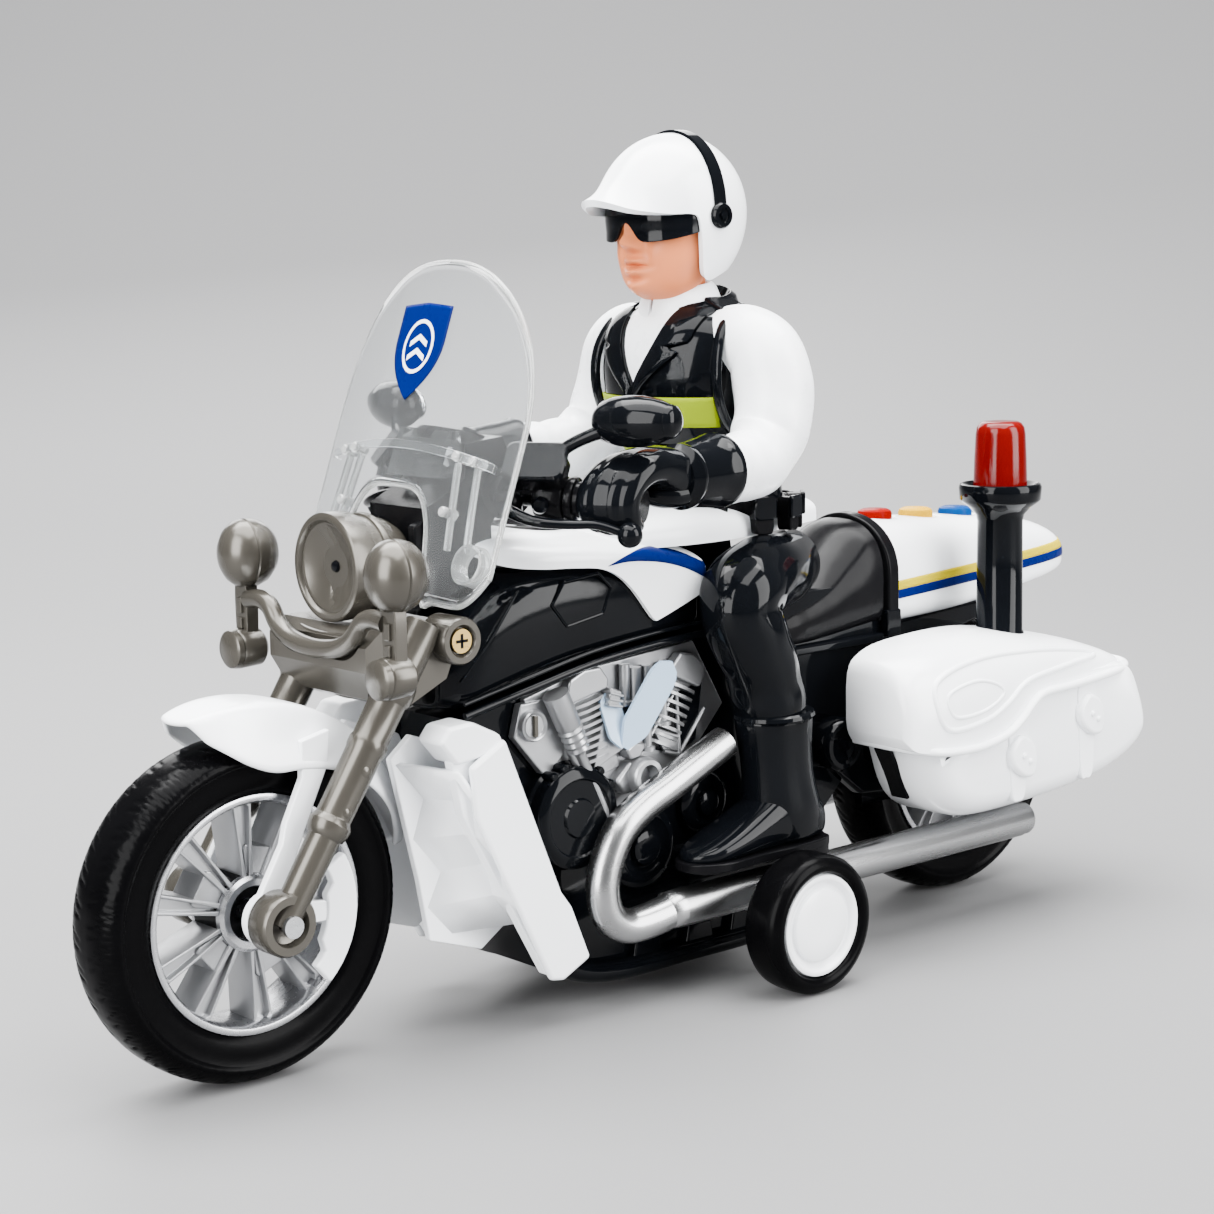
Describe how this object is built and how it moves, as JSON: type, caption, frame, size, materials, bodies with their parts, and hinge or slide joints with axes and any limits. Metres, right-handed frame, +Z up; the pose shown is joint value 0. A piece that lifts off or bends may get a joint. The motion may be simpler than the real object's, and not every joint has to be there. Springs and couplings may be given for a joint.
{
  "type": "toy motorcycle with rider",
  "caption": "Moulded toy patrol motorcycle with a helmeted rider, clear screen, saddlebags, beacon and a flywheel drive in side wheels.",
  "frame": {"origin": "on the floor, under the middle of the whole toy's box", "axes": "+X forward, +Y to the rider's left, +Z up"},
  "size_m": [0.288, 0.1032, 0.1908],
  "materials": {
    "black_gloss": "gloss moulded plastic",
    "white_gloss": "gloss moulded plastic",
    "chrome_plate": "vacuum plated plastic",
    "satin_silver": "satin silver finish on plastic",
    "gunmetal": "pearl grey-bronze plastic",
    "black_tyre": "soft moulded tyre",
    "clear_sheet": "clear moulded sheet",
    "steel_pin": "bright steel",
    "brass_screw": "passivated steel screw with a gold tint",
    "flywheel_iron": "pressed steel discs",
    "gear_plastic": "natural acetal",
    "board_green": "printed board",
    "button_red": "coloured moulded button",
    "button_yellow": "coloured moulded button",
    "button_blue": "coloured moulded button",
    "lens_red": "translucent red lens",
    "skin": "painted skin tone"
  },
  "bodies": {
    "chassis": {"frame_half_left": "black_gloss", "frame_half_right": "black_gloss", "tank_body": "black_gloss", "tank_cover": "white_gloss", "fuel_cap": "black_gloss", "engine_inserts": "satin_silver", "exhausts": "satin_silver", "leg_shields": "white_gloss", "gearbox_shell_left": "gear_plastic", "gearbox_shell_right": "gear_plastic", "wheel_axles": "steel_pin", "fork_leg_left": "gunmetal", "fork_leg_right": "gunmetal", "fork_yoke": "gunmetal", "lamp_bracket": "gunmetal", "front_mudguard": "white_gloss", "headlight_shell": "gunmetal", "headlight_dish": "gunmetal", "fog_lamps": "gunmetal", "windshield": "clear_sheet", "windshield_bracket": "clear_sheet", "instrument_pod": "black_gloss", "handlebar": "black_gloss", "control_levers": "black_gloss", "mirrors": "black_gloss", "seat": "black_gloss", "backrest_hoop": "black_gloss", "tail_box": "white_gloss", "saddlebag_left": "white_gloss", "saddlebag_right": "white_gloss", "saddlebag_lids": "white_gloss", "beacon_pole": "black_gloss", "beacon_lens": "lens_red", "circuit_board": "board_green", "speaker": "black_gloss", "battery_cells": "steel_pin", "battery_cover": "black_gloss", "screws": "brass_screw", "rider_body": "black_gloss", "rider_boots": "black_gloss", "rider_arms": "white_gloss", "rider_gloves": "black_gloss"},
    "front_wheel": {"front_tyre": "black_tyre", "front_rim": "chrome_plate"},
    "rear_wheel": {"rear_tyre": "black_tyre", "rear_rim": "chrome_plate"},
    "drive_axle": {"side_tyres": "black_tyre", "side_hubs": "white_gloss", "drive_shaft": "steel_pin", "axle_gear": "gear_plastic"},
    "compound_gear_body": {"compound_gear": "gear_plastic"},
    "flywheel_body": {"flywheel": "flywheel_iron"},
    "button_red_body": {"button_red": "button_red"},
    "button_yellow_body": {"button_yellow": "button_yellow"},
    "button_blue_body": {"button_blue": "button_blue"},
    "head": {"rider_head": "skin", "rider_helmet": "white_gloss", "rider_headset": "black_gloss", "rider_glasses": "black_gloss"}
  },
  "joints": [
    {"name": "front_wheel_spin", "type": "hinge", "parent": "chassis", "child": "front_wheel", "pos_m": [0.109, 0, 0.035], "axis": [0, 1, 0], "continuous": true},
    {"name": "rear_wheel_spin", "type": "hinge", "parent": "chassis", "child": "rear_wheel", "pos_m": [-0.103, 0, 0.035], "axis": [0, 1, 0], "continuous": true},
    {"name": "drive_axle_spin", "type": "hinge", "parent": "chassis", "child": "drive_axle", "pos_m": [-0.0132, 0, 0.0157], "axis": [0, 1, 0], "continuous": true},
    {"name": "compound_gear_spin", "type": "hinge", "parent": "chassis", "child": "compound_gear_body", "pos_m": [-0.0082, 0, 0.02436], "axis": [0, 1, 0], "continuous": true},
    {"name": "flywheel_spin", "type": "hinge", "parent": "chassis", "child": "flywheel_body", "pos_m": [0.00046, 0, 0.02936], "axis": [0, 1, 0], "continuous": true},
    {"name": "button_red_press", "type": "slide", "parent": "chassis", "child": "button_red_body", "axis": [0, 0, -1], "range_m": [0, 0.0012], "stiffness_N_per_m": 300, "springref_m": -0.0008},
    {"name": "button_yellow_press", "type": "slide", "parent": "chassis", "child": "button_yellow_body", "axis": [0, 0, -1], "range_m": [0, 0.0012], "stiffness_N_per_m": 300, "springref_m": -0.0008},
    {"name": "button_blue_press", "type": "slide", "parent": "chassis", "child": "button_blue_body", "axis": [0, 0, -1], "range_m": [0, 0.0012], "stiffness_N_per_m": 300, "springref_m": -0.0008},
    {"name": "head_turn", "type": "hinge", "parent": "chassis", "child": "head", "pos_m": [-0.0145, 0, 0.151], "axis": [0, 0, 1], "range_deg": [-35, 35]}
  ],
  "couplings": [
    {"joint": "compound_gear_spin", "follows": "drive_axle_spin", "ratio": -3},
    {"joint": "flywheel_spin", "follows": "drive_axle_spin", "ratio": 9}
  ]
}
